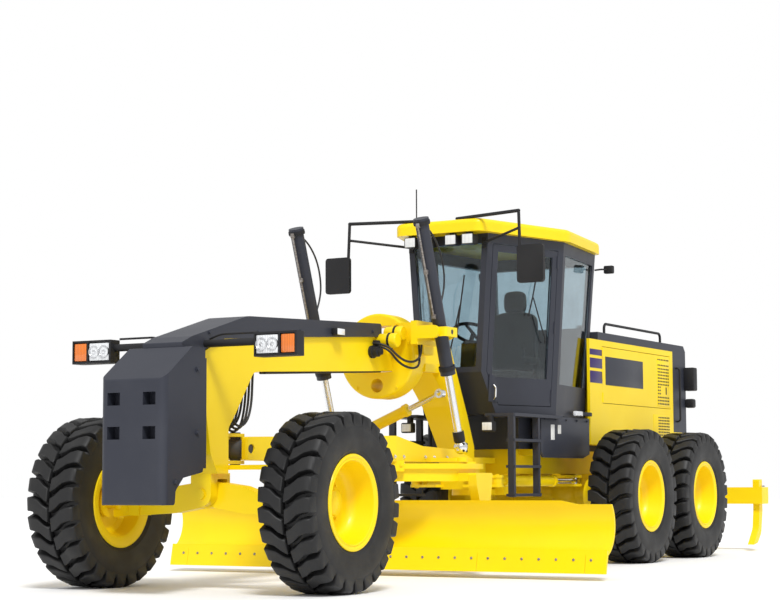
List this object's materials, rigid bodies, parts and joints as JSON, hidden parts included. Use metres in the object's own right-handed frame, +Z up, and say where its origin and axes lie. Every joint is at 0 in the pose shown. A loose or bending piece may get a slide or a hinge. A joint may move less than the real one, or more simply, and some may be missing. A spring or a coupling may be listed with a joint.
{
  "type": "motor grader",
  "caption": "Articulated motor grader with cab, engine hood, tandem drive wheels, leaning front wheels, drawbar, toothed circle, curved blade, rear ripper and push block",
  "frame": {"origin": "on the ground at the middle of the overall length and width", "axes": "+X forward, +Y to the driver's left, +Z up"},
  "size_m": [10.56, 4.27, 3.56],
  "materials": {
    "yellow_paint": "gloss",
    "dark_paint": "satin",
    "black_plastic": "matte",
    "tyre": "matte",
    "cast_steel": "matte",
    "chrome_rod": "polished",
    "tinted_glass": "clear",
    "seat_fabric": "woven"
  },
  "bodies": {
    "front_frame": {"front_frame": "yellow_paint", "counterweight": "dark_paint", "frame_cover": "dark_paint", "headlights": "black_plastic", "lift_saddle": "yellow_paint", "front_axle": "yellow_paint"},
    "wheel_front_left": {"wheel_front_left": "tyre"},
    "wheel_tandem_front_left": {"wheel_tandem_front_left": "tyre"},
    "wheel_tandem_rear_left": {"wheel_tandem_rear_left": "tyre"},
    "lean_bracket_left": {"lean_bracket_left": "yellow_paint"},
    "steering_knuckle_left": {"steering_knuckle_left": "yellow_paint"},
    "hood_door_left": {"hood_door_left": "yellow_paint"},
    "lift_yoke_left": {"lift_yoke_left": "yellow_paint"},
    "lift_cylinder_left": {"lift_cylinder_left": "dark_paint"},
    "lift_rod_left": {"lift_rod_left": "chrome_rod"},
    "articulation_cylinder_left": {"articulation_cylinder_left": "yellow_paint"},
    "articulation_rod_left": {"articulation_rod_left": "chrome_rod"},
    "cab_door_left": {"cab_door_left": "dark_paint", "door_glass_left": "tinted_glass"},
    "wheel_front_right": {"wheel_front_right": "tyre"},
    "wheel_tandem_front_right": {"wheel_tandem_front_right": "tyre"},
    "wheel_tandem_rear_right": {"wheel_tandem_rear_right": "tyre"},
    "lean_bracket_right": {"lean_bracket_right": "yellow_paint"},
    "steering_knuckle_right": {"steering_knuckle_right": "yellow_paint"},
    "hood_door_right": {"hood_door_right": "yellow_paint"},
    "lift_yoke_right": {"lift_yoke_right": "yellow_paint"},
    "lift_cylinder_right": {"lift_cylinder_right": "dark_paint"},
    "lift_rod_right": {"lift_rod_right": "chrome_rod"},
    "articulation_cylinder_right": {"articulation_cylinder_right": "yellow_paint"},
    "articulation_rod_right": {"articulation_rod_right": "chrome_rod"},
    "cab_door_right": {"cab_door_right": "dark_paint", "door_glass_right": "tinted_glass"},
    "lean_bar": {"lean_bar": "yellow_paint"},
    "tie_rod_end": {"tie_rod_end": "cast_steel"},
    "tie_rod": {"tie_rod": "yellow_paint"},
    "drawbar_ball": {"drawbar_ball": "cast_steel"},
    "drawbar": {"drawbar": "yellow_paint"},
    "circle": {"circle": "yellow_paint"},
    "blade_bracket": {"blade_bracket": "yellow_paint"},
    "moldboard": {"moldboard": "yellow_paint"},
    "centreshift_cylinder": {"centreshift_cylinder": "yellow_paint"},
    "centreshift_rod": {"centreshift_rod": "chrome_rod"},
    "ripper_cylinder": {"ripper_cylinder": "yellow_paint"},
    "ripper_rod": {"ripper_rod": "chrome_rod"},
    "ripper_frame": {"ripper_frame": "yellow_paint", "ripper_shanks": "yellow_paint"},
    "rear_frame": {"access_steps": "dark_paint", "cab_frame": "dark_paint", "cab_roof": "yellow_paint", "cab_windows": "tinted_glass", "engine_block": "cast_steel", "hood_shell": "yellow_paint", "mirrors": "black_plastic", "operator_seat": "seat_fabric", "rear_enclosure": "dark_paint", "rear_frame": "yellow_paint", "roof_lamps": "black_plastic", "steering_console": "black_plastic", "tandem_axle": "yellow_paint"}
  },
  "joints": [
    {"name": "articulation", "type": "hinge", "parent": "rear_frame", "child": "front_frame", "pos_m": [0.08, 0, 0.845], "axis": [0, 0, -1], "range_deg": [-25, 25]},
    {"name": "lean_left", "type": "hinge", "parent": "front_frame", "child": "lean_bracket_left", "pos_m": [4.28, 0.74, 0.6], "axis": [1, 0, 0], "range_deg": [-18, 18]},
    {"name": "steer_left", "type": "hinge", "parent": "lean_bracket_left", "child": "steering_knuckle_left", "pos_m": [4.28, 0.85, 0.65], "axis": [0, 0, 1], "range_deg": [-47.5, 47.5]},
    {"name": "roll_front_left", "type": "hinge", "parent": "steering_knuckle_left", "child": "wheel_front_left", "pos_m": [4.28, 1.03, 0.65], "axis": [0, 1, 0], "continuous": true},
    {"name": "roll_tandem_front_left", "type": "hinge", "parent": "rear_frame", "child": "wheel_tandem_front_left", "pos_m": [-1.4525, 1.03, 0.65], "axis": [0, 1, 0], "continuous": true},
    {"name": "roll_tandem_rear_left", "type": "hinge", "parent": "rear_frame", "child": "wheel_tandem_rear_left", "pos_m": [-2.9775, 1.03, 0.65], "axis": [0, 1, 0], "continuous": true},
    {"name": "lean_right", "type": "hinge", "parent": "front_frame", "child": "lean_bracket_right", "pos_m": [4.28, -0.74, 0.6], "axis": [1, 0, 0], "range_deg": [-18, 18]},
    {"name": "steer_right", "type": "hinge", "parent": "lean_bracket_right", "child": "steering_knuckle_right", "pos_m": [4.28, -0.85, 0.65], "axis": [0, 0, 1], "range_deg": [-47.5, 47.5]},
    {"name": "roll_front_right", "type": "hinge", "parent": "steering_knuckle_right", "child": "wheel_front_right", "pos_m": [4.28, -1.03, 0.65], "axis": [0, 1, 0], "continuous": true},
    {"name": "roll_tandem_front_right", "type": "hinge", "parent": "rear_frame", "child": "wheel_tandem_front_right", "pos_m": [-1.4525, -1.03, 0.65], "axis": [0, 1, 0], "continuous": true},
    {"name": "roll_tandem_rear_right", "type": "hinge", "parent": "rear_frame", "child": "wheel_tandem_rear_right", "pos_m": [-2.9775, -1.03, 0.65], "axis": [0, 1, 0], "continuous": true},
    {"name": "lean_bar_level", "type": "hinge", "parent": "lean_bracket_left", "child": "lean_bar", "pos_m": [4.26, 0.74, 0.908], "axis": [1, 0, 0], "range_deg": [-18, 18]},
    {"name": "tie_rod_end_turn", "type": "hinge", "parent": "steering_knuckle_left", "child": "tie_rod_end", "pos_m": [4.09, 0.85, 0.728], "axis": [0, 0, 1], "range_deg": [-47.5, 47.5]},
    {"name": "tie_rod_level", "type": "hinge", "parent": "tie_rod_end", "child": "tie_rod", "pos_m": [4.09, 0.85, 0.728], "axis": [1, 0, 0], "range_deg": [-16, 16]},
    {"name": "drawbar_swing", "type": "hinge", "parent": "front_frame", "child": "drawbar_ball", "pos_m": [3.98, 0, 1.05], "axis": [0, 0, -1], "range_deg": [-8, 8]},
    {"name": "drawbar_lift", "type": "hinge", "parent": "drawbar_ball", "child": "drawbar", "pos_m": [3.98, 0, 1.05], "axis": [0, 1, 0], "range_deg": [-18.5, 9.5]},
    {"name": "circle_turn", "type": "hinge", "parent": "drawbar", "child": "circle", "pos_m": [1.48, 0, 0.875], "axis": [0, 0, 1], "continuous": true},
    {"name": "blade_tip", "type": "hinge", "parent": "circle", "child": "blade_bracket", "pos_m": [1.54, 0, 0.3], "axis": [0, 1, 0], "range_deg": [-5, 40]},
    {"name": "blade_shift", "type": "slide", "parent": "blade_bracket", "child": "moldboard", "axis": [0, -1, 0], "range_m": [-0.66, 0.66]},
    {"name": "lift_yoke_left_swing", "type": "hinge", "parent": "front_frame", "child": "lift_yoke_left", "pos_m": [1.7955, 0.62, 2.06], "axis": [1, 0, 0], "range_deg": [-22, 22]},
    {"name": "lift_cylinder_left_tilt", "type": "hinge", "parent": "lift_yoke_left", "child": "lift_cylinder_left", "pos_m": [1.7955, 0.62, 2.06], "axis": [0, 1, 0], "range_deg": [-16, 9]},
    {"name": "lift_rod_left_slide", "type": "slide", "parent": "lift_cylinder_left", "child": "lift_rod_left", "axis": [0.3441, 0, 0.9389], "range_m": [-0.78, 0.41]},
    {"name": "lift_yoke_right_swing", "type": "hinge", "parent": "front_frame", "child": "lift_yoke_right", "pos_m": [1.7955, -0.62, 2.06], "axis": [1, 0, 0], "range_deg": [-22, 22]},
    {"name": "lift_cylinder_right_tilt", "type": "hinge", "parent": "lift_yoke_right", "child": "lift_cylinder_right", "pos_m": [1.7955, -0.62, 2.06], "axis": [0, 1, 0], "range_deg": [-16, 9]},
    {"name": "lift_rod_right_slide", "type": "slide", "parent": "lift_cylinder_right", "child": "lift_rod_right", "axis": [0.3441, 0, 0.9389], "range_m": [-0.78, 0.41]},
    {"name": "centreshift_tilt", "type": "hinge", "parent": "drawbar", "child": "centreshift_cylinder", "pos_m": [1.455, -0.47, 1.185], "axis": [1, 0, 0], "range_deg": [-22, 40]},
    {"name": "centreshift_slide", "type": "slide", "parent": "centreshift_cylinder", "child": "centreshift_rod", "axis": [0, 0.9231, 0.3846], "range_m": [-0.265, 0.265]},
    {"name": "articulation_cylinder_left_swing", "type": "hinge", "parent": "front_frame", "child": "articulation_cylinder_left", "pos_m": [0.33, 0.42, 0.8], "axis": [0, 0, 1], "range_deg": [-22, 22]},
    {"name": "articulation_rod_left_slide", "type": "slide", "parent": "articulation_cylinder_left", "child": "articulation_rod_left", "axis": [-0.9998, 0.0175, 0], "range_m": [-0.21, 0.21]},
    {"name": "articulation_cylinder_right_swing", "type": "hinge", "parent": "front_frame", "child": "articulation_cylinder_right", "pos_m": [0.33, -0.42, 0.8], "axis": [0, 0, 1], "range_deg": [-22, 22]},
    {"name": "articulation_rod_right_slide", "type": "slide", "parent": "articulation_cylinder_right", "child": "articulation_rod_right", "axis": [-0.9998, -0.0175, 0], "range_m": [-0.21, 0.21]},
    {"name": "cab_door_left_hinge", "type": "hinge", "parent": "rear_frame", "child": "cab_door_left", "pos_m": [-0.4458, 0.6113, 1.5], "axis": [0, 0.0661, 0.9978], "range_deg": [0, 85]},
    {"name": "cab_door_right_hinge", "type": "hinge", "parent": "rear_frame", "child": "cab_door_right", "pos_m": [-0.4458, -0.6113, 1.5], "axis": [0, 0.0661, -0.9978], "range_deg": [0, 85]},
    {"name": "hood_door_left_hinge", "type": "hinge", "parent": "rear_frame", "child": "hood_door_left", "pos_m": [-1.743, 0.6, 1.87], "axis": [0, 0, -1], "range_deg": [0, 90]},
    {"name": "hood_door_right_hinge", "type": "hinge", "parent": "rear_frame", "child": "hood_door_right", "pos_m": [-1.743, -0.6, 1.87], "axis": [0, 0, 1], "range_deg": [0, 90]},
    {"name": "ripper_lift", "type": "hinge", "parent": "rear_frame", "child": "ripper_frame", "pos_m": [-4.28, 0, 0.85], "axis": [0, 1, 0], "range_deg": [-25, 25]},
    {"name": "ripper_cylinder_tilt", "type": "hinge", "parent": "rear_frame", "child": "ripper_cylinder", "pos_m": [-4.165, 0, 1.21], "axis": [0, 1, 0], "range_deg": [-19, 19]},
    {"name": "ripper_rod_slide", "type": "slide", "parent": "ripper_cylinder", "child": "ripper_rod", "axis": [-0.8242, 0, -0.5663], "range_m": [-0.12, 0.12]}
  ],
  "couplings": [
    {"joint": "lean_right", "follows": "lean_left", "ratio": 1},
    {"joint": "lean_bar_level", "follows": "lean_left", "ratio": -1},
    {"joint": "steer_right", "follows": "steer_left", "ratio": 1},
    {"joint": "tie_rod_end_turn", "follows": "steer_left", "ratio": -1},
    {"joint": "tie_rod_level", "follows": "lean_left", "ratio": -0.8725},
    {"joint": "lift_yoke_left_swing", "follows": "drawbar_swing", "ratio": 2.62},
    {"joint": "lift_cylinder_left_tilt", "follows": "drawbar_lift", "ratio": 0.75},
    {"joint": "lift_rod_left_slide", "follows": "drawbar_lift", "m_per_rad": 2.38},
    {"joint": "lift_yoke_right_swing", "follows": "drawbar_swing", "ratio": 2.62},
    {"joint": "lift_cylinder_right_tilt", "follows": "drawbar_lift", "ratio": 0.75},
    {"joint": "lift_rod_right_slide", "follows": "drawbar_lift", "m_per_rad": 2.38},
    {"joint": "centreshift_tilt", "follows": "drawbar_lift", "ratio": -2.1},
    {"joint": "centreshift_slide", "follows": "drawbar_swing", "m_per_rad": -1.9},
    {"joint": "articulation_cylinder_left_swing", "follows": "articulation", "ratio": 0.86},
    {"joint": "articulation_rod_left_slide", "follows": "articulation", "m_per_rad": 0.415},
    {"joint": "articulation_cylinder_right_swing", "follows": "articulation", "ratio": 0.86},
    {"joint": "articulation_rod_right_slide", "follows": "articulation", "m_per_rad": -0.415},
    {"joint": "ripper_cylinder_tilt", "follows": "ripper_lift", "ratio": 0.7},
    {"joint": "ripper_rod_slide", "follows": "ripper_lift", "m_per_rad": -0.23}
  ]
}
